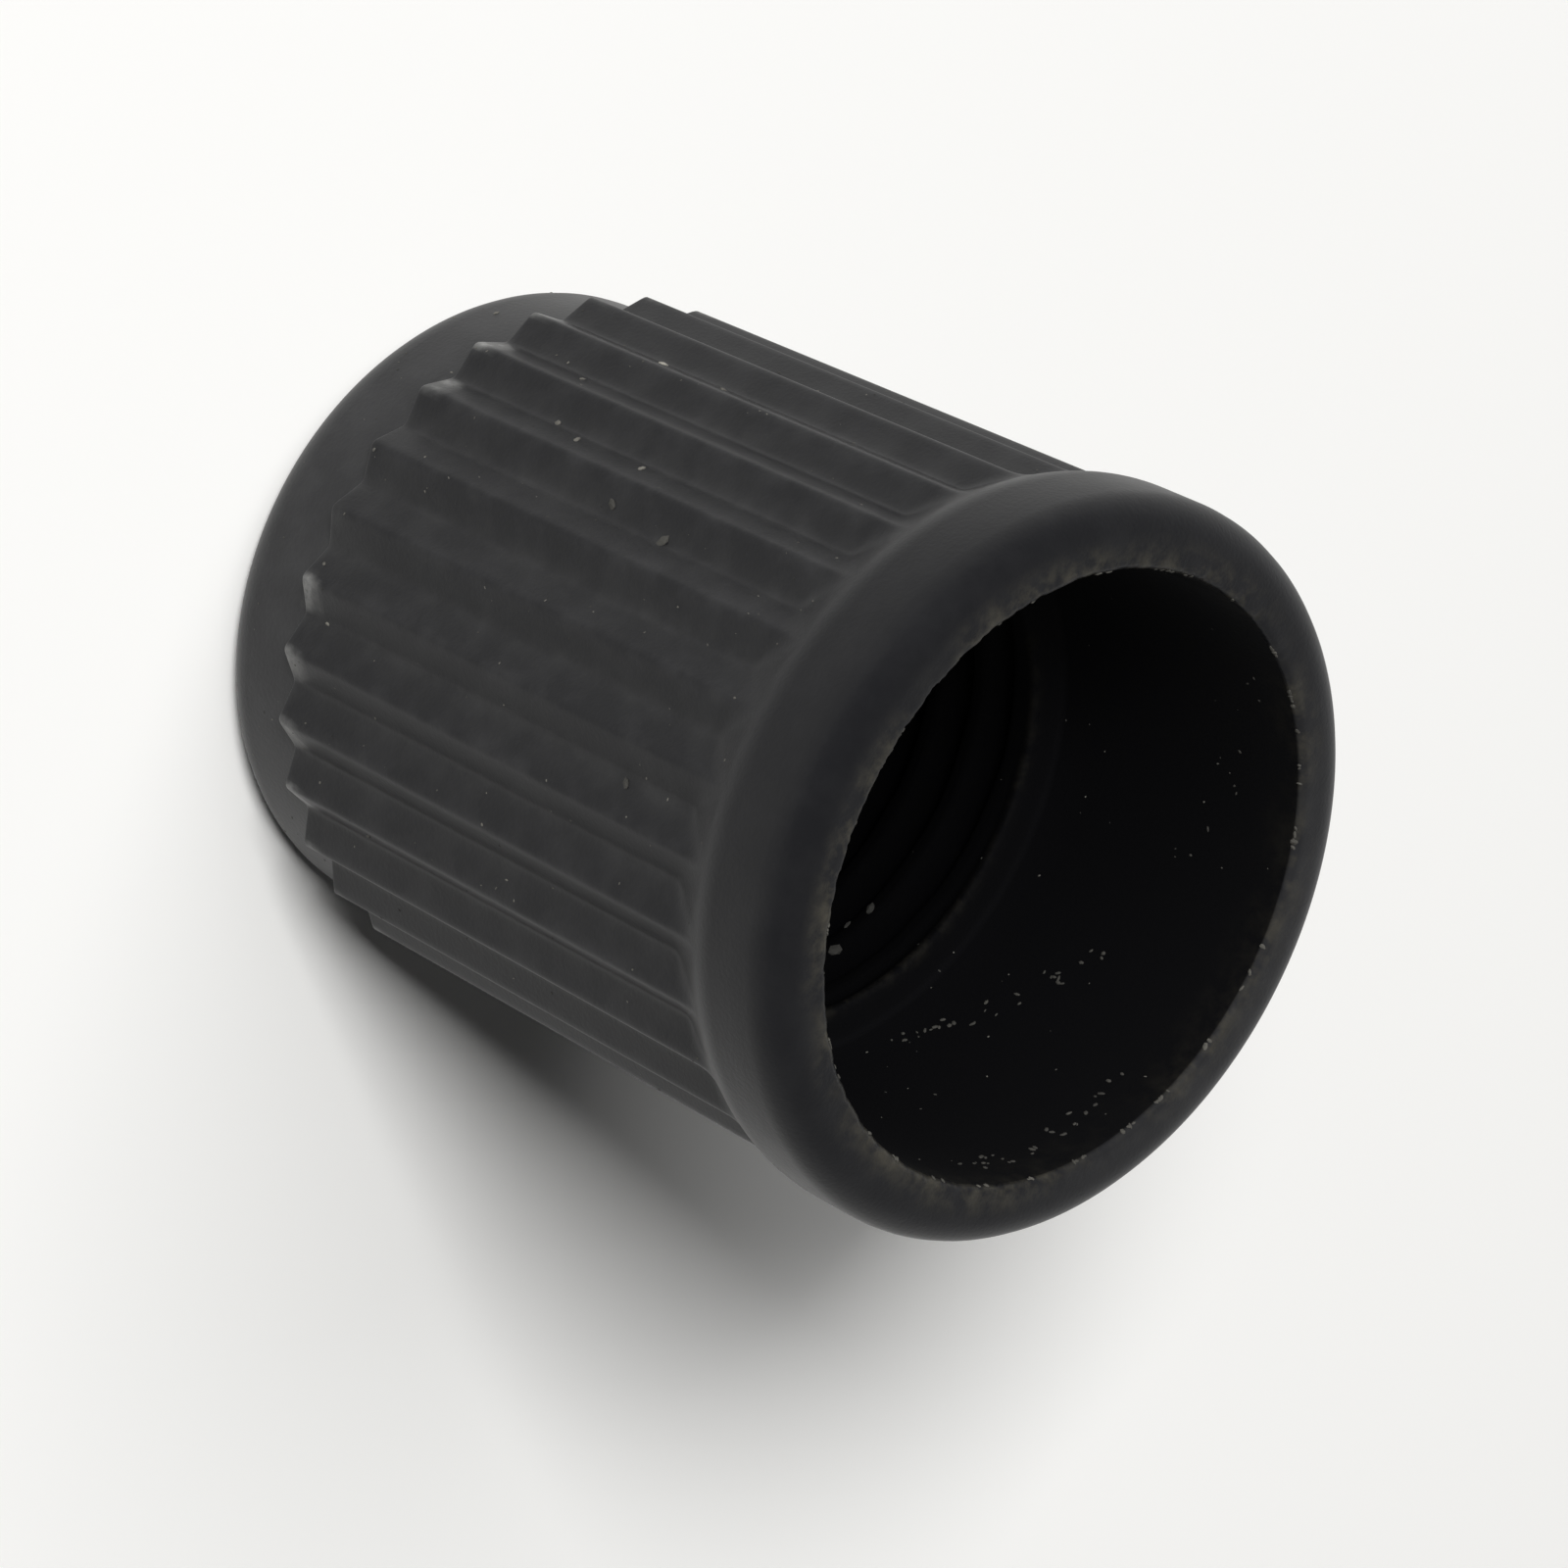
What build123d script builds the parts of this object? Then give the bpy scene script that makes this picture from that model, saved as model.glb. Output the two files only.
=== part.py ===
import os
from math import radians, sin, tan

from build123d import *

# A moulded plastic tyre valve cap in millimetres. Its axis is Z: closed end down at zero, mouth up.

# Hollow: a plain skirt bore over a threaded hole, drawn at the thread's inner diameter
thread_minor_radius = 3.55
thread_depth = 6.0
thread_floor_radius = 0.4
ledge_width = 0.55
ledge_edge_radius = 0.1
skirt_depth = 4.48

# Body round the hollow
skirt_wall = 0.425
end_wall = 1.52
end_edge_radius = 0.7
mould_draft = 0.35

# Collar bead round the mouth
collar_height = 1.4
collar_projection = 0.175
shoulder_height = 0.95
shoulder_foot_radius = 1.0
collar_shoulder_radius = 1.0
rim_outer_edge_radius = 0.5
rim_inner_edge_radius = 0.1

# Grip ribs
rib_count = 30
rib_height = 0.3
rib_bottom = 1.82
rib_flank_angle = 58.0
rib_crest_radius = 0.12
rib_valley_radius = 0.25
rib_sink = 0.2

# Heights and radii that follow from the sizes above
ledge_height = end_wall + thread_depth
cap_length = ledge_height + skirt_depth
collar_bottom = cap_length - collar_height
shoulder_bottom = collar_bottom - shoulder_height
skirt_radius = thread_minor_radius + ledge_width
rib_root = skirt_radius + skirt_wall
rib_crest = rib_root + rib_height
collar_radius = rib_crest + collar_projection
draft_slope = tan(radians(mould_draft))


def wall_radius(height):
    """Radius of the turned wall under the ribs, which narrows by the draft from the collar to the closed end."""
    return rib_root - draft_slope * (collar_bottom - height)


# The ribs: a ring of pointed ridges that meet in rounded valleys and narrow towards the closed end
rib_point = rib_crest + rib_crest_radius * (1 / sin(radians(rib_flank_angle)) - 1)
rib_base = rib_root - rib_sink
rib_base_half_width = (rib_point - rib_base) * tan(radians(rib_flank_angle))

with BuildPart() as ribs:
    with BuildSketch(Plane.XY.offset(collar_bottom)) as rib_ring:
        Circle(rib_root)
        with PolarLocations(0, rib_count):
            Polygon(
                (rib_point, 0),
                (rib_base, rib_base_half_width),
                (rib_base, -rib_base_half_width),
                align=None,
            )
        fillet(rib_ring.vertices().group_by(SortBy.DISTANCE)[-1], rib_crest_radius)
        fillet(rib_ring.vertices().group_by(SortBy.DISTANCE)[0], rib_valley_radius)
    extrude(amount=rib_bottom - collar_bottom, taper=mould_draft)

# The cap: a turned outside, ribs all round, and the hollow cut out last
with BuildPart() as valve_cap:
    with BuildSketch(Plane.XZ):
        with BuildLine():
            FilletPolyline(
                (0, 0),
                (wall_radius(0), 0),
                (wall_radius(shoulder_bottom), shoulder_bottom),
                (collar_radius, collar_bottom),
                (collar_radius, cap_length),
                (0, cap_length),
                radius=[
                    0,
                    end_edge_radius,
                    shoulder_foot_radius,
                    collar_shoulder_radius,
                    rim_outer_edge_radius,
                    0,
                ],
                close=True,
            )
        make_face()
    revolve(axis=Axis.Z)

    add(ribs.part)

    with BuildSketch(Plane.XZ):
        with BuildLine():
            FilletPolyline(
                (0, end_wall),
                (thread_minor_radius, end_wall),
                (thread_minor_radius, ledge_height),
                (skirt_radius, ledge_height),
                (skirt_radius, cap_length),
                (0, cap_length),
                radius=[0, thread_floor_radius, ledge_edge_radius, ledge_edge_radius, 0, 0],
                close=True,
            )
        make_face()
    revolve(axis=Axis.Z, mode=Mode.SUBTRACT)

    mouth_edges = valve_cap.edges().filter_by(GeomType.CIRCLE).group_by(Axis.Z)[-1]
    fillet(mouth_edges.sort_by(SortBy.RADIUS)[0], rim_inner_edge_radius)

valve_cap.part.label = "valve_cap"

os.makedirs("parts", exist_ok=True)
export_step(valve_cap.part, "parts/valve_cap.step")
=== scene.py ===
import math
import random

import bpy
from mathutils import Matrix, Quaternion, Vector


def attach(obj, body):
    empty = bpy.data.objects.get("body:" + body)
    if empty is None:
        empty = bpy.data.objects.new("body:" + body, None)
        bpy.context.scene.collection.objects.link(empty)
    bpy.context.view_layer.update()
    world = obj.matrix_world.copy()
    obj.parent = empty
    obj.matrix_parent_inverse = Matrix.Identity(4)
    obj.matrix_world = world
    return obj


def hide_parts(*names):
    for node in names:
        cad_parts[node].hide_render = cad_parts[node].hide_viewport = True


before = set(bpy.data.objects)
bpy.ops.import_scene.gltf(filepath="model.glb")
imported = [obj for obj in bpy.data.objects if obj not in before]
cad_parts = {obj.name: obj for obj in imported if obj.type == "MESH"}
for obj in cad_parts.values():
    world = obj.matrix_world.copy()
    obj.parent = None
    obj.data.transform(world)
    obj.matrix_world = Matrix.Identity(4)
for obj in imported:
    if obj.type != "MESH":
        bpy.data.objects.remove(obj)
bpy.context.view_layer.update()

mm = 0.001


# Helpers

def direction(azimuth, elevation=0):
    # degrees, azimuth from +X
    a, e = math.radians(azimuth), math.radians(elevation)
    return Vector((math.cos(e) * math.cos(a), math.cos(e) * math.sin(a), math.sin(e)))


def addObject(name, data):
    thing = bpy.data.objects.new(name, data)
    bpy.context.scene.collection.objects.link(thing)
    return thing


def feed(tree, value, socket):
    if isinstance(value, bpy.types.NodeSocket):
        tree.links.new(value, socket)
    else:
        socket.default_value = value


def addNode(tree, kind, inputs=None, **settings):
    node = tree.nodes.new(kind)
    for name, value in settings.items():
        setattr(node, name, value)
    for name, value in (inputs or {}).items():
        feed(tree, value, node.inputs[name])
    return node


def calc(tree, operation, *values):
    node = addNode(tree, "ShaderNodeMath", operation=operation)
    for value, socket in zip(values, node.inputs):
        feed(tree, value, socket)
    return node.outputs[0]


def plus(tree, first, second):
    return calc(tree, "ADD", first, second)


def minus(tree, first, second):
    return calc(tree, "SUBTRACT", first, second)


def times(tree, first, second):
    return calc(tree, "MULTIPLY", first, second)


def over(tree, first, second):
    return calc(tree, "DIVIDE", first, second)


def remap(tree, value, source=(0, 1), target=(0, 1)):
    inputs = {"Value": value, "From Min": source[0], "From Max": source[1]}
    inputs.update({"To Min": target[0], "To Max": target[1]})
    return addNode(tree, "ShaderNodeMapRange", inputs).outputs[0]


def split(tree, vector):
    return addNode(tree, "ShaderNodeSeparateXYZ", {0: vector}).outputs


def noise(tree, place, texture):
    scale, detail, roughness = texture
    inputs = {"Vector": place, "Scale": scale, "Detail": detail, "Roughness": roughness}
    return addNode(tree, "ShaderNodeTexNoise", inputs).outputs["Fac"]


def shapeCurve(tree, points, value):
    # a drawn outline as a node: points run from 0 to 1
    node = addNode(tree, "ShaderNodeFloatCurve", {"Value": value})
    line = node.mapping.curves[0]
    line.points[0].location = points[0]
    line.points[1].location = points[-1]
    for spot in points[1:-1]:
        line.points.new(*spot)
    for point in line.points:
        point.handle_type = "VECTOR"
    node.mapping.update()
    return node.outputs[0]


def mixColours(tree, share, first, second):
    # the Mix node has its colour sockets at these numbers
    node = addNode(tree, "ShaderNodeMix", {0: share, 6: first, 7: second}, data_type="RGBA")
    return node.outputs[2]


def startMaterial(name):
    material = bpy.data.materials.new(name)
    material.use_nodes = True
    return material, material.node_tree.nodes["Principled BSDF"].inputs


def meshValue(tree, name):
    return addNode(tree, "ShaderNodeAttribute", attribute_name=name).outputs["Fac"]


def startTree(name, inputs):
    tree = bpy.data.node_groups.new(name, "GeometryNodeTree")
    tree.is_modifier = True
    tree.interface.new_socket("Geometry", in_out="INPUT", socket_type="NodeSocketGeometry")
    for label, kind in inputs.items():
        tree.interface.new_socket(label, in_out="INPUT", socket_type="NodeSocket" + kind)
    tree.interface.new_socket("Geometry", in_out="OUTPUT", socket_type="NodeSocketGeometry")
    return tree, tree.nodes.new("NodeGroupInput").outputs


def ownPlace(tree):
    return addNode(tree, "GeometryNodeInputPosition").outputs[0]


def storedValue(tree, name, kind="FLOAT"):
    inputs = {"Name": name}
    return addNode(tree, "GeometryNodeInputNamedAttribute", inputs, data_type=kind).outputs["Attribute"]


def endTree(tree, geometry, material):
    realized = addNode(tree, "GeometryNodeRealizeInstances", {"Geometry": geometry}).outputs[0]
    painted = addNode(tree, "GeometryNodeSetMaterial", {"Geometry": realized, "Material": material})
    tree.links.new(painted.outputs[0], tree.nodes.new("NodeGroupOutput").inputs[0])


def growPiece(name, host, tree, values):
    # runs the tree on its host and keeps the result as a plain mesh
    modifier = host.modifiers.new(tree.name, "NODES")
    modifier.node_group = tree
    for item in tree.interface.items_tree:
        if item.in_out == "INPUT" and item.name in values:
            modifier[item.identifier] = values[item.name]
    graph = bpy.context.evaluated_depsgraph_get()
    grown = host.evaluated_get(graph)
    mesh = bpy.data.meshes.new_from_object(grown, preserve_all_data_layers=True, depsgraph=graph)
    host.modifiers.remove(modifier)
    bpy.data.objects.remove(host)
    mesh.name = name
    return addObject(name, mesh)


# Plastic

plasticLook = {
    "black": (0.0032, 0.0033, 0.0043, 1),
    "haze": (0.032, 0.032, 0.0332, 1),       # thin film of dust on the outside, also painted sheen on the smooth end and painted light on the far side of the rim
    "lodged": (0.24, 0.24, 0.233, 1),        # dust in the valleys and at the rib ends, also a painted highlight at the rib ends and painted light that softens the valley shade
    "wearAndLedgeGlint": (0.058, 0.053, 0.04, 1),         # dirt and wear round the mouth, and a painted highlight along the ledge in the hole
    # the hole is painted darker than the outside: painted shade
    "bore": (0.0026, 0.0026, 0.003, 1),
    "deep": (0.001, 0.001, 0.0012, 1),       # the thread, painted darker still: painted shade
    # textures: scale per metre, detail, roughness
    "cloud": (1500, 5, 0.6),
    "patches": (3200, 4, 0.65),
    "drift": (700, 1, 0.5),
    "grain": (16000, 3, 0.5),
    # the part of each texture that shows, from none to all of it
    "cloudShown": (0.42, 0.7),
    "patchesShown": (0.42, 0.68),
    "driftShown": (0.36, 0.56),
    # thinnest and thickest film
    "film": (0.12, 1.0),
    "filmAcrossRibs": (0.12, 0.45),          # in the valleys and on the crests
    "crestFrom": (0.3, 1.0),
    "filmAndSheenOnSmooth": (0.36, 0.7),
    "smoothBelow": (1.95 * mm, 1.75 * mm),   # the smooth end holds more of the film than the ribs, as dust and painted sheen
    "smoothAbove": (11.2 * mm, 11.8 * mm),   # the far side of the rim gets it as painted light
    "paintedLightSide": (-1.5 * mm, -4.5 * mm),
    # dust at the rib ends and in the valleys, with painted highlight and painted light
    "dustAndLightLeast": 0.45,
    "dustAndLightDrift": (0.35, 1.0),
    "siltAndLift": (0.012, 0.045),                  # in the valleys: dust, and painted light that softens their shade
    # wear round the mouth, and a painted highlight along the ledge: more of it on the near side, less of it
    # inside
    "wornLeast": 0.15,
    "wornOutside": 0.7,
    "wornLessInside": 0.5,
    "wornAcross": (-4.0 * mm, 4.0 * mm),
    "wornShare": (0.65, 1.4),
    "smoothRoughness": 0.42,
    "crestRoughness": 0.46,
    "boreRoughness": 0.9,
    "smears": (-0.06, 0.06),                 # added to the roughness
    "grainStrength": 0.4,
    "grainDepth": 0.01 * mm,
    "specular": 0.23,
}


def makePlastic(look):
    material, shader = startMaterial("blackPlastic")
    tree = material.node_tree
    place = addNode(tree, "ShaderNodeTexCoord").outputs["Object"]
    spot = split(tree, place)
    crest, valley = meshValue(tree, "crest"), meshValue(tree, "valley")
    bore, deep = meshValue(tree, "bore"), meshValue(tree, "deep")
    edge, lodged = meshValue(tree, "edge"), meshValue(tree, "lodged")

    # cloudy haze over the outside, a few tenths of a millimetre across
    cloud = noise(tree, place, look["cloud"])
    blotchy = remap(tree, cloud, look["cloudShown"], look["film"])
    onRibs = remap(tree, crest, look["crestFrom"], look["filmAcrossRibs"])
    evener = remap(tree, blotchy, target=look["filmAndSheenOnSmooth"])
    # the smooth end is lighter: dust film and painted sheen
    onEnd = remap(tree, spot["Z"], look["smoothBelow"])
    # painted light: the far side of the rim is lighter
    onRim = remap(tree, spot["Z"], look["smoothAbove"])
    paintedLightSide = remap(tree, spot["X"], look["paintedLightSide"])
    onSmooth = calc(tree, "MAXIMUM", onEnd, times(tree, onRim, paintedLightSide))
    hazy = calc(tree, "MAXIMUM", times(tree, blotchy, onRibs), times(tree, evener, onSmooth))
    colour = mixColours(tree, hazy, look["black"], look["haze"])
    # painted shade: the hole darker than the outside, and its thread darker still
    colour = mixColours(tree, bore, colour, look["bore"])
    colour = mixColours(tree, deep, colour, look["deep"])

    # dust in patches at the rib ends, and thinly in the valleys; at the rib ends it is also a painted
    # highlight, in the valleys also painted light that softens their shade
    patchy = remap(tree, noise(tree, place, look["patches"]), look["patchesShown"])
    drift = remap(tree, noise(tree, place, look["drift"]), look["driftShown"])
    uneven = remap(tree, drift, target=look["dustAndLightDrift"])
    dustAndLightShare = times(tree, plus(tree, patchy, look["dustAndLightLeast"]), times(tree, uneven, lodged))
    siltedAndLifted = times(tree, remap(tree, blotchy, target=look["siltAndLift"]), valley)
    dustAndLightShare = calc(tree, "MINIMUM", calc(tree, "MAXIMUM", dustAndLightShare, siltedAndLifted), 1)
    colour = mixColours(tree, dustAndLightShare, colour, look["lodged"])

    # patches of wear round the mouth, and a painted highlight along the ledge in the hole
    wearAndLedgeGlint = times(tree, times(tree, patchy, edge), plus(tree, drift, look["wornLeast"]))
    inOrOut = minus(tree, look["wornOutside"], times(tree, bore, look["wornLessInside"]))
    oneSided = remap(tree, spot["X"], look["wornAcross"], look["wornShare"])
    wearAndLedgeGlint = times(tree, times(tree, wearAndLedgeGlint, inOrOut), oneSided)
    colour = mixColours(tree, wearAndLedgeGlint, colour, look["wearAndLedgeGlint"])
    feed(tree, colour, shader["Base Color"])

    # the rib crests are duller than the smooth parts, and the bore is dullest
    rough = remap(tree, crest, target=(look["smoothRoughness"], look["crestRoughness"]))
    rough = remap(tree, bore, target=(rough, look["boreRoughness"]))
    smeared = remap(tree, cloud, target=look["smears"])
    feed(tree, plus(tree, rough, smeared), shader["Roughness"])

    # fine moulded grain
    grain = noise(tree, place, look["grain"])
    bump = {"Height": grain, "Strength": look["grainStrength"], "Distance": look["grainDepth"]}
    feed(tree, addNode(tree, "ShaderNodeBump", bump).outputs[0], shader["Normal"])

    shader["Specular IOR Level"].default_value = look["specular"]
    return material


# Cap

cap = {
    # mm, apart from counts, shares and angles
    "threadMinorRadius": 3.55,
    "threadDepth": 6.0,
    "threadFloorRounding": 0.4,
    "threadPitch": 0.794,
    "threadCut": 0.32,
    "threadRunIn": (0.12, 0.25),        # plain wall below the ledge, then the height in which the cut grows
    "threadRunOut": (0.45, 0.5),        # the same above the floor of the hole
    # share of a turn, share of the thread's depth
    "threadOutline": [(0, 1), (0.06, 1), (0.37, 0), (0.63, 0), (0.94, 1), (1, 1)],
    "ledgeWidth": 0.55,
    "ledgeRounding": 0.1,
    # this far below the ledge the thread's painted shade begins
    "darkBelowLedge": 0.05,
    "skirtDepth": 4.48,
    "skirtWall": 0.425,
    "endWall": 1.52,
    "endRounding": 0.7,
    "draft": math.tan(math.radians(0.35)),
    "collarHeight": 1.4,
    "collarProjection": 0.175,
    "collarRounding": 1.0,
    "collarBlend": 0.2,                 # rounding where the ribs run into the shoulder
    "shoulderHeight": 0.95,
    "shoulderFootRounding": 1.0,
    "rimOuterRounding": 0.5,
    "rimInnerRounding": 0.1,
    "ribCount": 30,
    "ribHeight": 0.3,
    "ribBottom": 1.82,
    "ribFlank": math.radians(58),       # from the rib's middle plane
    "crestRounding": 0.13,
    "valleyRounding": 0.09,
    # height above the rib's end, share of the rib's height
    "ribEnd": [
        (-0.25, 0), (-0.05, 0), (-0.003, 0), (0, 0.97), (0.006, 1),
        (0.03, 1), (0.12, 1), (0.22, 1), (0.45, 1)],
    # height above the rib's end, share of the dust and painted highlight there
    "ribEndDustAndGlint": [(-0.2, 0), (-0.05, 0.4), (-0.003, 1), (0.12, 0.9), (0.22, 0.5), (0.45, 0)],
    # shares of a rib's pitch from its crest, where the dust and painted highlight begin and where they fade
    # out
    "dustAndGlintFrom": (-0.1, 0.06),
    "dustAndGlintUntil": (0.5, 0.3),
    # the ribs nearest the X axis get little of it: sine of a rib's azimuth, share of dust and painted
    # highlight
    "dustAndGlintAside": (0.12, 0.36),
    "dustShare": (0.05, 1.0),
    "valleyFrom": (0.6, 0.1),           # share of the way up to the crest
    # ragged edge: depth, reach of the wear, and a texture that runs round the rim
    "edgeWear": 0.035,
    "edgeWearReach": 0.45,
    "edgeFalloff": 3,
    "edgeTexture": (14, 3, 0.7),
    "edgeTextureShown": (0.45, 0.75),
    "edgeSeed": 3.0,
    # the ledge's reach also sets where the painted highlight lies along the ledge
    "ledgeWearAndGlintReach": 0.15,
    "mouthBand": 0.2,                   # below the rim, with closer rows for the wear
    # mesh: columns, how far they crowd, and rows in each rounding and on the straight leg before it
    "columnsPerRib": 16,
    "crowding": 0.03,
    "rows": {
        "end": (9, 3), "shoulder": (6, 9), "collar": (8, 3), "rimOutside": (7, 1), "rimInside": (6, 3),
        "mouthBand": (0, 1), "ledgeOutside": (4, 6), "ledgeInside": (4, 2),
        "holeFloor": 5, "holeMiddle": (0, 3), "eachTurn": 12},
    "mergeDistance": 0.0005,            # closes the seam and the two middles
}


def clamp(x):
    return min(1, max(0, x))


def between(table, x):
    # straight-line reading of a table of pairs
    if x <= table[0][0]:
        return table[0][1]
    for (x0, y0), (x1, y1) in zip(table, table[1:]):
        if x <= x1:
            return y0 + (y1 - y0) * (x - x0) / (x1 - x0)
    return table[-1][1]


def roundedRows(corners):
    # corners are radius, height, rounding, rows in the rounding, rows on the straight leg before it
    rows = []
    for number, (radius, height, rounding, arcRows, legRows) in enumerate(corners):
        here = Vector((radius, height))
        start = end = here
        if rounding:
            toBefore = (Vector(corners[number - 1][:2]) - here).normalized()
            toAfter = (Vector(corners[number + 1][:2]) - here).normalized()
            half = toBefore.angle(toAfter) / 2
            start = here + toBefore * rounding / math.tan(half)
            end = here + toAfter * rounding / math.tan(half)
            centre = here + (toBefore + toAfter).normalized() * rounding / math.sin(half)
        if rows:
            last = rows[-1]
            rows += [last.lerp(start, (k + 1) / (legRows + 1)) for k in range(legRows)]
        rows.append(start)
        if rounding:
            first, final = (start - centre).normalized(), (end - centre).normalized()
            rows += [centre + first.slerp(final, (k + 1) / arcRows) * rounding for k in range(arcRows)]
    return rows


def makeSection(cap):
    # half section from the middle of the closed end, over the rim and down to the floor of the hole
    ledge = cap["endWall"] + cap["threadDepth"]
    top = ledge + cap["skirtDepth"]
    collarFoot = top - cap["collarHeight"]
    shoulderFoot = collarFoot - cap["shoulderHeight"]
    hole = cap["threadMinorRadius"]
    skirt = hole + cap["ledgeWidth"]
    ribRoot = skirt + cap["skirtWall"]
    collar = ribRoot + cap["ribHeight"] + cap["collarProjection"]

    def wallAt(height):
        return ribRoot - cap["draft"] * (collarFoot - height)

    rows = cap["rows"]
    ribEnds = [cap["ribBottom"] + up for up, share in cap["ribEnd"]]
    threadRows = round(rows["eachTurn"] * cap["threadDepth"] / cap["threadPitch"])
    outline = roundedRows([
        (0, 0, 0, 0, 0),
        (wallAt(0), 0, cap["endRounding"], *rows["end"]),
        *[(wallAt(height), height, 0, 0, 0) for height in ribEnds],
        (wallAt(shoulderFoot), shoulderFoot, cap["shoulderFootRounding"], *rows["shoulder"]),
        (collar, collarFoot, cap["collarRounding"], *rows["collar"]),
        (collar, top, cap["rimOuterRounding"], *rows["rimOutside"]),
        (skirt, top, cap["rimInnerRounding"], *rows["rimInside"]),
        (skirt, top - cap["mouthBand"], 0, *rows["mouthBand"]),
        (skirt, ledge, cap["ledgeRounding"], *rows["ledgeOutside"]),
        (hole, ledge, cap["ledgeRounding"], *rows["ledgeInside"]),
        (hole, cap["endWall"], cap["threadFloorRounding"], rows["holeFloor"], threadRows),
        (0, cap["endWall"], 0, *rows["holeMiddle"]),
    ])
    mesh = bpy.data.meshes.new("capSection")
    steps = [(k, k + 1) for k in range(len(outline) - 1)]
    mesh.from_pydata([(r * mm, 0, z * mm) for r, z in outline], steps, [])

    # what each row of the section carries
    tiny = 1e-6                         # mm
    mouthEdge, ledgeEdge = Vector((skirt, top)), Vector((hole, ledge))
    plainIn, growIn = cap["threadRunIn"]
    plainOut, growOut = cap["threadRunOut"]
    mouth = next(k for k, (r, z) in enumerate(outline) if z > top - tiny)
    carried = []
    for k, (r, z) in enumerate(outline):
        up = z - cap["ribBottom"]
        within = k > mouth and r < skirt + tiny
        onThread = k > mouth and abs(r - hole) < tiny
        runIn = clamp((ledge - plainIn - z) / growIn)
        runOut = clamp((z - cap["endWall"] - plainOut) / growOut)
        toMouth = (Vector((r, z)) - mouthEdge).length / cap["edgeWearReach"]
        toLedge = (Vector((r, z)) - ledgeEdge).length / cap["ledgeWearAndGlintReach"]
        carried.append({
            "ribShare": between(cap["ribEnd"], up) if k < mouth and z < collarFoot else 0.0,
            "threadShare": runIn * runOut if onThread else 0.0,
            "inside": 1.0 if within else 0.0,
            # rows that carry the painted shade of the thread
            "deep": 1.0 if within and z < ledge - cap["darkBelowLedge"] else 0.0,
            "collarShare": clamp((z - shoulderFoot) / cap["shoulderHeight"]),
            "edgeShare": max(0, 1 - min(toMouth, toLedge)),
            "dustShare": between(cap["ribEndDustAndGlint"], up) if k < mouth else 0.0,
        })
    for name in carried[0]:
        values = [row[name] for row in carried]
        mesh.attributes.new(name, "FLOAT", "POINT").data.foreach_set("value", values)

    # the smooth minimum that rounds a crest takes a sixth of its distance off the point
    apex = ribRoot + cap["ribHeight"] + cap["crestRounding"] / 6
    follows = {"Rib Root": ribRoot * mm, "Rib Apex": apex * mm, "Collar Foot": collarFoot * mm}
    return addObject("capSection", mesh), follows


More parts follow.
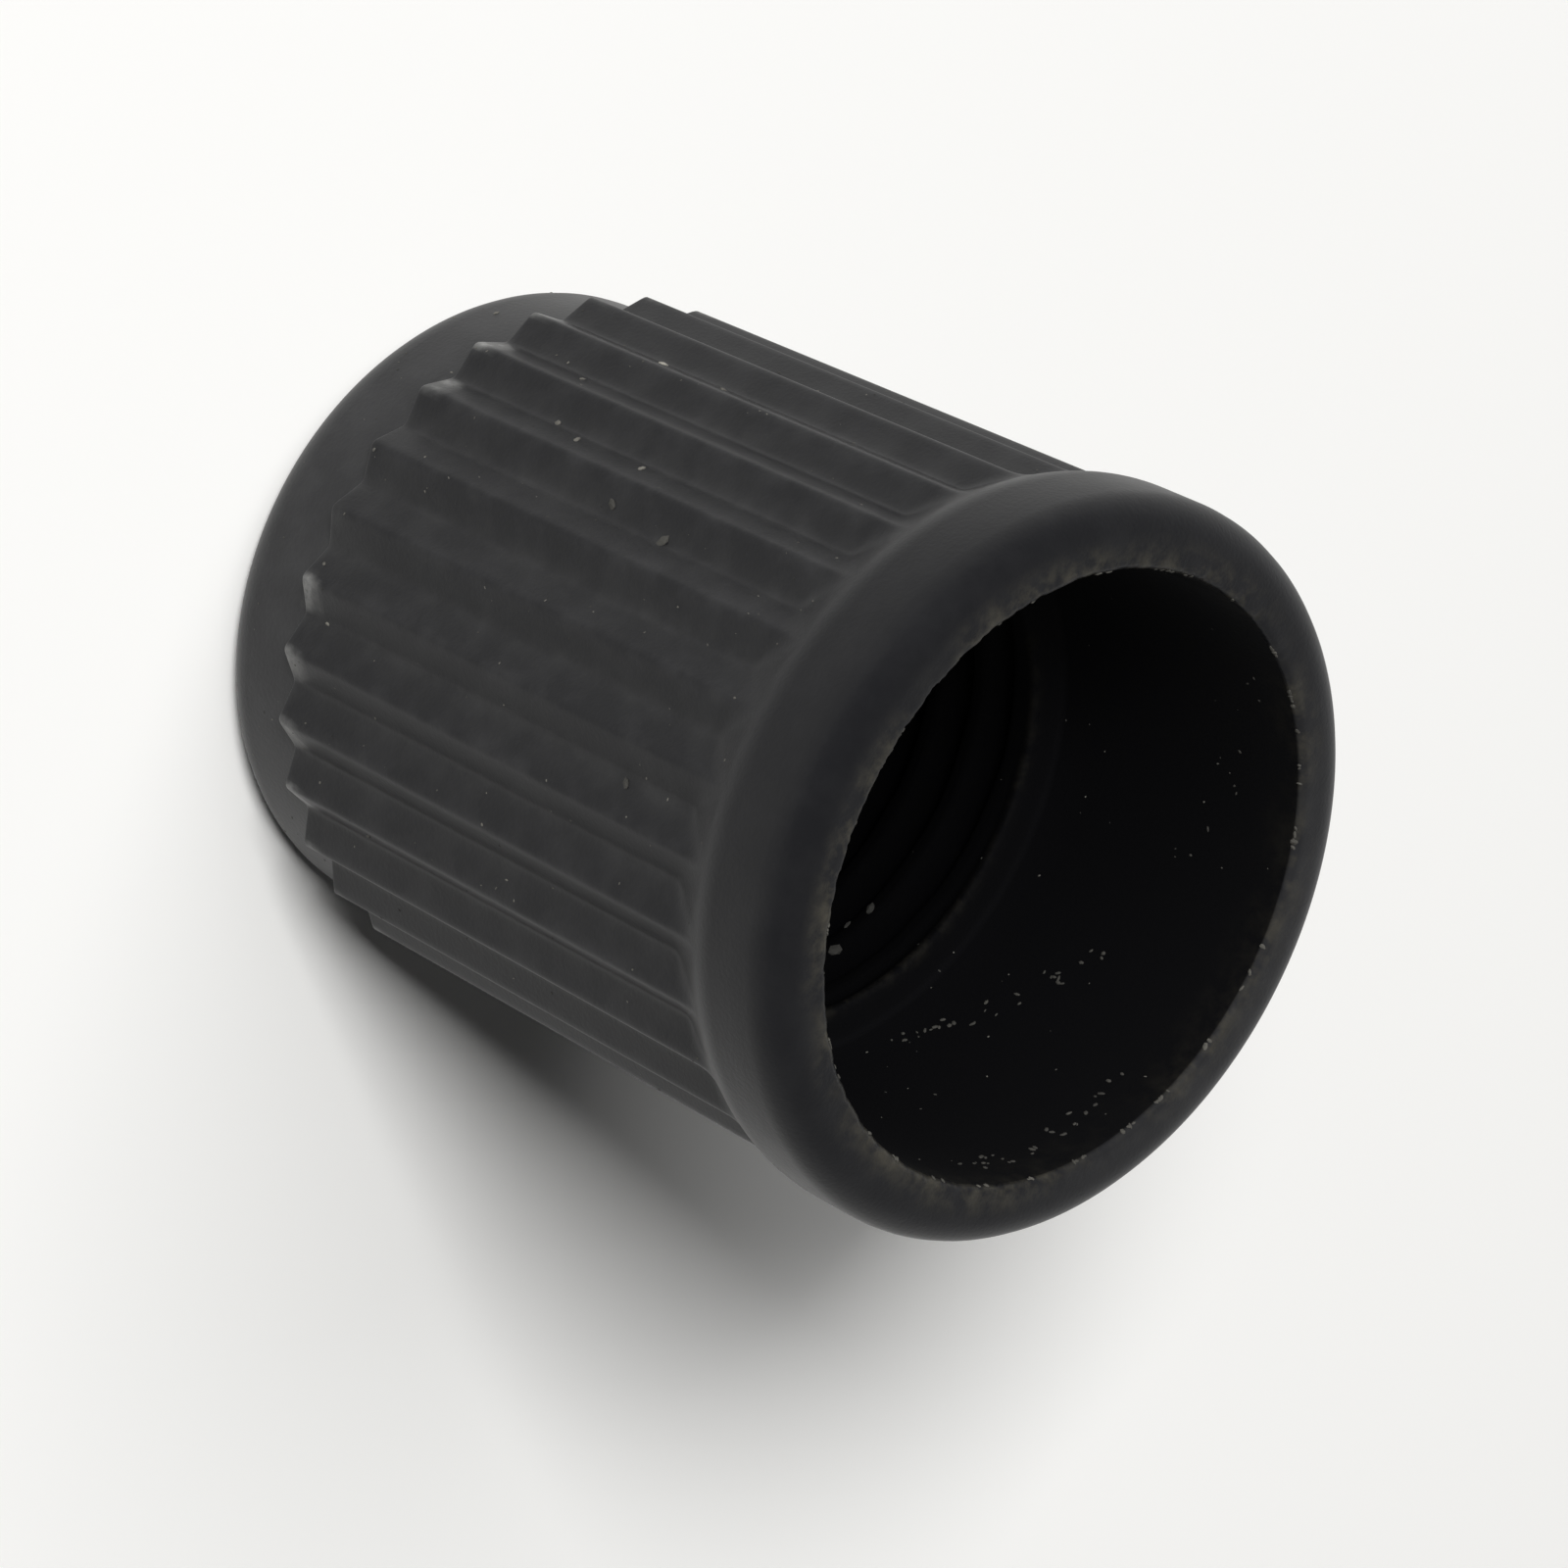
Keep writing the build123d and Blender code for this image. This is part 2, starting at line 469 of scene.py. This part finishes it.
def makeCapTree(cap):
    tree, start = startTree("capForm", {
        "Rib Count": "Int", "Columns Per Rib": "Int", "Rib Root": "Float", "Rib Apex": "Float",
        "Rib Flank": "Float", "Crest Rounding": "Float", "Valley Rounding": "Float", "Collar Foot": "Float",
        "Draft": "Float", "Crowding": "Float", "Collar Blend": "Float", "Thread Pitch": "Float",
        "Thread Cut": "Float", "Edge Wear": "Float", "Seed": "Float", "Material": "Material"})
    section = start["Geometry"]

    # a flat sheet, one row for each point of the section, centred on zero
    size = addNode(tree, "GeometryNodeAttributeDomainSize", {"Geometry": section})
    rowCount = size.outputs["Point Count"]
    columns = times(tree, start["Rib Count"], start["Columns Per Rib"])
    sheet = addNode(tree, "GeometryNodeMeshGrid", {
        "Size X": 1.0, "Size Y": 1.0, "Vertices X": rowCount, "Vertices Y": plus(tree, columns, 1)})
    spot = split(tree, ownPlace(tree))
    lastRow = minus(tree, rowCount, 1)
    row = calc(tree, "ROUND", times(tree, plus(tree, spot["X"], 0.5), lastRow))
    column = calc(tree, "ROUND", times(tree, plus(tree, spot["Y"], 0.5), columns))

    def fromRow(kind, value):
        node = addNode(tree, "GeometryNodeSampleIndex", {"Geometry": section}, data_type=kind)
        feed(tree, value, node.inputs["Value"])
        feed(tree, row, node.inputs["Index"])
        return node.outputs["Value"]

    def rowValue(name):
        return fromRow("FLOAT", storedValue(tree, name))

    profile = split(tree, fromRow("FLOAT_VECTOR", ownPlace(tree)))
    radius, height = profile["X"], profile["Z"]
    ribShare, collarShare = rowValue("ribShare"), rowValue("collarShare")

    # columns crowd on the crests and in the valleys
    pitches = over(tree, column, start["Columns Per Rib"])
    rib = calc(tree, "ROUND", pitches)
    even = minus(tree, pitches, rib)
    wave = calc(tree, "SINE", times(tree, even, 2 * math.tau))
    across = minus(tree, even, times(tree, wave, start["Crowding"]))
    turn = over(tree, plus(tree, rib, across), start["Rib Count"])
    angle = times(tree, turn, math.tau)

    # ribs are roofs that stand on the drafted wall, meet in valleys and run into the collar
    drawn = times(tree, minus(tree, start["Collar Foot"], height), start["Draft"])
    wall = minus(tree, start["Rib Root"], drawn)
    apex = times(tree, minus(tree, start["Rib Apex"], drawn), calc(tree, "SINE", start["Rib Flank"]))
    pitch = over(tree, math.tau, start["Rib Count"])
    aside = times(tree, calc(tree, "ABSOLUTE", across), pitch)

    def flank(swing):
        return over(tree, apex, calc(tree, "SINE", plus(tree, start["Rib Flank"], swing)))

    near, far = flank(aside), flank(times(tree, aside, -1))
    roof = calc(tree, "SMOOTH_MIN", near, far, start["Crest Rounding"])
    nextRoof = flank(minus(tree, pitch, aside))
    roof = calc(tree, "SMOOTH_MAX", roof, nextRoof, start["Valley Rounding"])
    ribTop = plus(tree, wall, times(tree, minus(tree, roof, wall), ribShare))
    onShoulder = times(tree, times(tree, collarShare, 4), minus(tree, 1, collarShare))      # 1 halfway up
    blend = times(tree, start["Collar Blend"], onShoulder)
    ribbed = calc(tree, "SMOOTH_MAX", radius, ribTop, blend)
    hasRibs = calc(tree, "GREATER_THAN", ribShare, 0)
    choice = {"Switch": hasRibs, "False": radius, "True": ribbed}
    outer = addNode(tree, "GeometryNodeSwitch", choice, input_type="FLOAT").outputs[0]

    # right-hand thread
    phase = calc(tree, "FRACT", minus(tree, over(tree, height, start["Thread Pitch"]), turn))
    depth = times(tree, rowValue("threadShare"), start["Thread Cut"])
    reach = plus(tree, outer, times(tree, shapeCurve(tree, cap["threadOutline"], phase), depth))

    # ragged edge round the mouth
    cosine, sine = calc(tree, "COSINE", angle), calc(tree, "SINE", angle)
    ring = addNode(tree, "ShaderNodeCombineXYZ", {"X": cosine, "Y": sine, "Z": start["Seed"]}).outputs[0]
    ragged = noise(tree, ring, cap["edgeTexture"])
    chips = remap(tree, ragged, cap["edgeTextureShown"], (0, start["Edge Wear"]))
    edge = rowValue("edgeShare")
    chipped = times(tree, chips, calc(tree, "POWER", edge, cap["edgeFalloff"]))
    reach = plus(tree, reach, chipped)
    around = addNode(tree, "ShaderNodeCombineXYZ", {
        "X": times(tree, reach, cosine), "Y": times(tree, reach, sine), "Z": minus(tree, height, chipped)})

    # dust and a painted highlight lie at the rib ends, on the flanks that face away from +X
    slant = calc(tree, "SINE", times(tree, plus(tree, rib, 0.5), pitch))      # half a pitch on, so never zero
    sideways = times(tree, across, calc(tree, "SIGN", slant))
    begins = remap(tree, sideways, cap["dustAndGlintFrom"])
    fades = remap(tree, sideways, cap["dustAndGlintUntil"])
    glintAndDust = remap(tree, calc(tree, "ABSOLUTE", slant), cap["dustAndGlintAside"], cap["dustShare"])
    onFlank = times(tree, times(tree, begins, fades), glintAndDust)

    # what the plastic reads: lobe is 1 on a crest and 0 in a valley
    lobe = minus(tree, 1, times(tree, calc(tree, "ABSOLUTE", across), 2))
    ribOnly = minus(tree, ribShare, collarShare)
    kept = {
        "crest": times(tree, lobe, ribOnly),
        "bore": rowValue("inside"),
        "deep": rowValue("deep"),
        "edge": edge,
        "lodged": times(tree, rowValue("dustShare"), onFlank),
        "valley": times(tree, remap(tree, lobe, cap["valleyFrom"]), ribOnly),
    }
    body = sheet.outputs["Mesh"]
    for name, value in kept.items():
        inputs = {"Geometry": body, "Name": name, "Value": value}
        body = addNode(tree, "GeometryNodeStoreNamedAttribute", inputs).outputs[0]
    inputs = {"Geometry": body, "Position": around.outputs[0]}
    body = addNode(tree, "GeometryNodeSetPosition", inputs).outputs[0]
    inputs = {"Geometry": body, "Distance": cap["mergeDistance"] * mm}
    body = addNode(tree, "GeometryNodeMergeByDistance", inputs).outputs[0]
    body = addNode(tree, "GeometryNodeFlipFaces", {"Mesh": body}).outputs[0]
    body = addNode(tree, "GeometryNodeSetShadeSmooth", {"Geometry": body}).outputs[0]
    endTree(tree, body, start["Material"])
    return tree


blackPlastic = makePlastic(plasticLook)
section, follows = makeSection(cap)
valveCap = growPiece("valveCap", section, makeCapTree(cap), {
    **follows,
    "Rib Count": cap["ribCount"],
    "Columns Per Rib": cap["columnsPerRib"],
    "Rib Flank": cap["ribFlank"],
    "Crest Rounding": cap["crestRounding"] * mm,
    "Valley Rounding": cap["valleyRounding"] * mm,
    "Draft": cap["draft"],
    "Crowding": cap["crowding"],
    "Collar Blend": cap["collarBlend"] * mm,
    "Thread Pitch": cap["threadPitch"] * mm,
    "Thread Cut": cap["threadCut"] * mm,
    "Edge Wear": cap["edgeWear"] * mm,
    "Seed": cap["edgeSeed"],
    "Material": blackPlastic,
})
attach(valveCap, "root")
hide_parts("valve_cap")
print("cap:", len(valveCap.data.vertices), "vertices,", len(valveCap.data.polygons), "faces")


# Dust

dust = {
    "seed": 11,
    # added to the seed for each random value; a lot of grains takes three, for its turn and two sides
    "seedSteps": {"paleness": 5, "radius": 6, "loose": 10, "placed": 20},
    "grainsPerSquareMm": 1.6,
    "fewerInBore": 0.6,                 # share of the loose grains left out there
    "grainRadius": (0.008, 0.022),      # mm
    # shares of a grain's radius
    "longSide": (0.9, 1.5),
    "shortSide": (0.5, 0.9),
    "thickness": 0.45,
    "facesPerGrain": 20,                # of the plainest ico sphere
    # mm, where loose grains lie
    "lowest": 0.3,
    "highest": 11.8,
    "widest": 4.9,
    "dim": (0.02, 0.02, 0.019, 1),
    "pale": (0.42, 0.40, 0.35, 1),
    "loosePaleness": (0.0, 0.3),
    "mottle": (30000, 2, 0.5),          # scale per metre, detail, roughness
    "mottleLift": 0.4,
    "roughness": 0.9,
    "specular": 0.3,
    # single flakes on the outside: azimuth in degrees, height and radius in mm, paleness
    "flakes": [
        (-52, 4.1, 0.07, 0.75), (-52, 5.3, 0.06, 0.2), (-40, 3.6, 0.05, 0.25), (-28, 4.6, 0.065, 0.25),
        (-28, 5.9, 0.065, 0.3), (-30, 4.0, 0.06, 0.2), (-67, 5.8, 0.045, 0.2), (18, 2.3, 0.05, 0.35),
        (51, 3.4, 0.06, 0.2), (-49, 0.9, 0.045, 0.25), (-20, 6.0, 0.07, 0.06), (-18, 7.1, 0.1, 0.07),
        (19, 8.5, 0.07, 0.05), (-11, 1.9, 0.04, 0.2), (9, 2.0, 0.04, 0.2)],
    "flakesInBore": [(157, 6.3, 0.1, 0.03), (151, 6.2, 0.07, 0.03), (144, 6.4, 0.1, 0.03)],
    # streaks in the mouth: first and last azimuth and height, clusters, most grains in one, radius, paleness
    "streaks": [
        ((138, 8.0), (171, 9.5), 9, 4, 0.046, 0.1),
        ((112, 11.3), (153, 11.2), 9, 5, 0.046, 0.1),
        ((192, 10.3), (239, 11.3), 6, 2, 0.046, 0.09),
        ((-180, 11.93), (168, 11.93), 30, 5, 0.048, 0.17)],
    "clusterShift": 0.4,                # share of the way to the next cluster
    "clusterBrightness": (0.6, 1.2),
    "clusterReach": 0.16,               # mm, how far its grains stray
    "clusterGrain": (0.5, 1),           # share of the streak's radius
    "edgeFrom": 11.9,                   # mm, grains above this stay level with the mouth's edge
    "boreRadius": 4.1,                  # mm
    "rayStart": 8,                      # mm from the axis, clear of the outside
}


def placeSpecks(dust, piece):
    # the larger specks, each on the first spot of the piece that a ray meets
    draw = random.Random(dust["seed"])
    shift, reach = dust["clusterShift"], dust["clusterReach"]
    rays = []
    for azimuth, height, radius, paleness in dust["flakes"]:
        out = direction(azimuth)
        rays.append((out * dust["rayStart"] + Vector((0, 0, height)), -out, radius, paleness))
    for azimuth, height, radius, paleness in dust["flakesInBore"]:
        rays.append((Vector((0, 0, height)), direction(azimuth), radius, paleness))
    for first, last, clusters, mostGrains, radius, paleness in dust["streaks"]:
        for cluster in range(clusters):
            along = (cluster + draw.uniform(-shift, shift)) / (clusters - 1)
            azimuth, height = Vector(first).lerp(Vector(last), along)
            bright = draw.uniform(*dust["clusterBrightness"]) * paleness
            for grain in range(draw.randint(1, mostGrains)):
                aside, up = draw.uniform(-reach, reach), draw.uniform(-reach, reach)
                level = height + up * (height < dust["edgeFrom"])
                size = radius * draw.uniform(*dust["clusterGrain"])
                toward = direction(azimuth + math.degrees(aside / dust["boreRadius"]))
                rays.append((Vector((0, 0, level)), toward, size, bright))

    spots, facing, sizes, pale = [], [], [], []
    for origin, toward, radius, paleness in rays:
        spot, normal = piece.ray_cast(origin * mm, toward)[1:3]
        spots.append(spot)
        facing.extend(normal)
        sizes.append(radius * mm)
        pale.append(paleness)
    mesh = bpy.data.meshes.new("speckSpots")
    mesh.from_pydata(spots, [], [])
    mesh.attributes.new("facing", "FLOAT_VECTOR", "POINT").data.foreach_set("vector", facing)
    mesh.attributes.new("grainSize", "FLOAT", "POINT").data.foreach_set("value", sizes)
    mesh.attributes.new("pale", "FLOAT", "POINT").data.foreach_set("value", pale)
    return addObject("speckSpots", mesh)


def makeDustTree(dust):
    tree, start = startTree("dustForm", {
        "Cap": "Object", "Seed": "Int", "Density": "Float", "Smallest": "Float", "Largest": "Float",
        "Thickness": "Float", "Lowest": "Float", "Highest": "Float", "Widest": "Float",
        "Material": "Material"})
    steps = dust["seedSteps"]
    grain = addNode(tree, "GeometryNodeMeshIcoSphere", {"Radius": 1.0, "Subdivisions": 1}).outputs["Mesh"]

    def chance(least, most, step):
        # the Random Value node has its float sockets at these numbers
        inputs = {2: least, 3: most, "Seed": plus(tree, start["Seed"], step)}
        return addNode(tree, "FunctionNodeRandomValue", inputs, data_type="FLOAT").outputs[1]

    def sow(points, rotation, radius, step):
        spin = addNode(tree, "ShaderNodeCombineXYZ", {"Z": chance(0.0, math.tau, step)}).outputs[0]
        turns = {"Rotation": rotation, "Rotate By": spin}
        turned = addNode(tree, "FunctionNodeRotateRotation", turns, rotation_space="LOCAL").outputs[0]
        size = addNode(tree, "ShaderNodeCombineXYZ", {
            "X": times(tree, radius, chance(*dust["longSide"], step + 1)),
            "Y": times(tree, radius, chance(*dust["shortSide"], step + 2)),
            "Z": times(tree, radius, start["Thickness"])}).outputs[0]
        inputs = {"Points": points, "Instance": grain, "Rotation": turned, "Scale": size}
        return addNode(tree, "GeometryNodeInstanceOnPoints", inputs).outputs[0]

    # loose grains over the sides, fewer in the bore
    surface = addNode(tree, "GeometryNodeObjectInfo", {"Object": start["Cap"]}).outputs["Geometry"]
    spot = split(tree, ownPlace(tree))
    squares = plus(tree, calc(tree, "POWER", spot["X"], 2), calc(tree, "POWER", spot["Y"], 2))
    limits = (
        ("GREATER_THAN", spot["Z"], start["Lowest"]),
        ("LESS_THAN", spot["Z"], start["Highest"]),
        ("LESS_THAN", calc(tree, "SQRT", squares), start["Widest"]),
    )
    share = minus(tree, 1, times(tree, storedValue(tree, "bore"), dust["fewerInBore"]))
    for limit in limits:
        share = times(tree, share, calc(tree, *limit))
    loose = addNode(tree, "GeometryNodeDistributePointsOnFaces", {
        "Mesh": surface, "Density": times(tree, start["Density"], share), "Seed": start["Seed"]}).outputs
    paleness = chance(*dust["loosePaleness"], steps["paleness"])
    inputs = {"Geometry": loose["Points"], "Name": "pale", "Value": paleness}
    points = addNode(tree, "GeometryNodeStoreNamedAttribute", inputs).outputs[0]
    radius = chance(start["Smallest"], start["Largest"], steps["radius"])
    scattered = sow(points, loose["Rotation"], radius, steps["loose"])

    # placed specks lie flat on the spots that were found for them
    outward = {"Vector": storedValue(tree, "facing", "FLOAT_VECTOR")}
    facing = addNode(tree, "FunctionNodeAlignRotationToVector", outward, axis="Z").outputs[0]
    placed = sow(start["Geometry"], facing, storedValue(tree, "grainSize"), steps["placed"])
    both = addNode(tree, "GeometryNodeJoinGeometry")
    for geometry in (scattered, placed):
        tree.links.new(geometry, both.inputs[0])
    endTree(tree, both.outputs[0], start["Material"])
    return tree


def makeDustLook(dust):
    material, shader = startMaterial("dustGrains")
    tree = material.node_tree
    place = addNode(tree, "ShaderNodeTexCoord").outputs["Object"]
    mottled = plus(tree, noise(tree, place, dust["mottle"]), dust["mottleLift"])
    share = times(tree, meshValue(tree, "pale"), mottled)
    feed(tree, mixColours(tree, share, dust["dim"], dust["pale"]), shader["Base Color"])
    shader["Roughness"].default_value = dust["roughness"]
    shader["Specular IOR Level"].default_value = dust["specular"]
    return material


bpy.context.view_layer.update()         # the rays meet the cap only after this
dustGrains = growPiece("dustGrains", placeSpecks(dust, valveCap), makeDustTree(dust), {
    "Cap": valveCap,
    "Seed": dust["seed"],
    "Density": dust["grainsPerSquareMm"] / mm ** 2,
    "Smallest": dust["grainRadius"][0] * mm,
    "Largest": dust["grainRadius"][1] * mm,
    "Thickness": dust["thickness"],
    "Lowest": dust["lowest"] * mm,
    "Highest": dust["highest"] * mm,
    "Widest": dust["widest"] * mm,
    "Material": makeDustLook(dust),
})
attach(dustGrains, "root")
print("dust:", len(dustGrains.data.polygons) // dust["facesPerGrain"], "grains")


# Floor

floorLook = {
    "size": 1.2,                        # metres
    "colour": (0.985, 0.98, 0.96, 1),
    "roughness": 0.9,
    "specular": 0.1,
}


def makeFloor(look):
    half = look["size"] / 2
    mesh = bpy.data.meshes.new("floor")
    corners = [(-half, -half, 0), (half, -half, 0), (half, half, 0), (-half, half, 0)]
    mesh.from_pydata(corners, [], [(0, 1, 2, 3)])
    floor = addObject("floor", mesh)
    material, shader = startMaterial("paleFloor")
    shader["Base Color"].default_value = look["colour"]
    shader["Roughness"].default_value = look["roughness"]
    shader["Specular IOR Level"].default_value = look["specular"]
    mesh.materials.append(material)


makeFloor(floorLook)
print("floor:", floorLook["size"], "m")


# Light

lamps = {
    # azimuth and elevation in degrees, distance and size in metres, share of a white card's brightness
    "key": {"azimuth": -19, "elevation": 42.6, "distance": 0.7, "size": 0.2, "level": 1.1},
    "side": {"azimuth": -55, "elevation": 44, "distance": 0.7, "size": 0.5, "level": 0.37},
}
lampAim = (0, 0, 0.006)                 # metres, the middle of the cap

surround = {
    "light": 0.03,                      # what the surroundings add to the lamps
    "backdrop": 0.98,                   # what the camera and the gloss see level with the floor
    "overhead": 0.6,                    # and above
    "overheadFrom": 0.4,                # height of the line of sight, where 1 is straight up
}


def addLamp(name, lamp):
    data = bpy.data.lights.new(name, "AREA")
    data.shape = "SQUARE"
    data.size = lamp["size"]
    # the watts that bring a white card facing the lamp to this level
    data.energy = lamp["level"] * math.pi ** 2 * lamp["distance"] ** 2
    light = addObject(name, data)
    away = direction(lamp["azimuth"], lamp["elevation"])
    light.location = away * lamp["distance"] + Vector(lampAim)
    light.rotation_euler = away.to_track_quat("Z", "Y").to_euler()
    light.visible_glossy = False        # soft room light alone shows in the gloss


def makeSurround(look):
    world = bpy.data.worlds.new("surround")
    bpy.context.scene.world = world
    world.use_nodes = True
    tree = world.node_tree
    background = tree.nodes["Background"].inputs
    path = addNode(tree, "ShaderNodeLightPath").outputs
    seen = calc(tree, "MAXIMUM", path["Is Camera Ray"], path["Is Glossy Ray"])
    seen = calc(tree, "MAXIMUM", seen, path["Is Transmission Ray"])
    upward = split(tree, addNode(tree, "ShaderNodeTexCoord").outputs["Generated"])["Z"]
    sight = remap(tree, upward, (0, look["overheadFrom"]), (look["backdrop"], look["overhead"]))
    feed(tree, remap(tree, seen, target=(look["light"], sight)), background["Strength"])
    background["Color"].default_value = (1, 1, 1, 1)


for name, lamp in lamps.items():
    addLamp(name, lamp)
makeSurround(surround)
bpy.context.scene.view_settings.view_transform = "Standard"
print("lamps:", ", ".join(lamps))


# Camera

view = {
    "lens": 142.0,
    "sensor": 36,
    "clip": (0.002, 20),                # metres
    "target": (0, 0.495, 6.841),        # mm
    "distance": 81.081,                 # mm
    "azimuth": 1.825,                   # degrees
    "elevation": 42.781,
    "roll": 116.312,                    # the photograph shows the cap lying down
}


def addCamera(view):
    data = bpy.data.cameras.new("camera")
    data.lens = view["lens"]
    data.sensor_width = view["sensor"]
    data.clip_start, data.clip_end = view["clip"]
    camera = addObject("camera", data)
    back = direction(view["azimuth"], view["elevation"])
    turn = back.to_track_quat("Z", "Y") @ Quaternion((0, 0, 1), math.radians(view["roll"]))
    position = (Vector(view["target"]) + back * view["distance"]) * mm
    camera.matrix_world = Matrix.Translation(position) @ turn.to_matrix().to_4x4()
    bpy.context.scene.camera = camera


addCamera(view)
print("camera:", view["lens"], "mm")
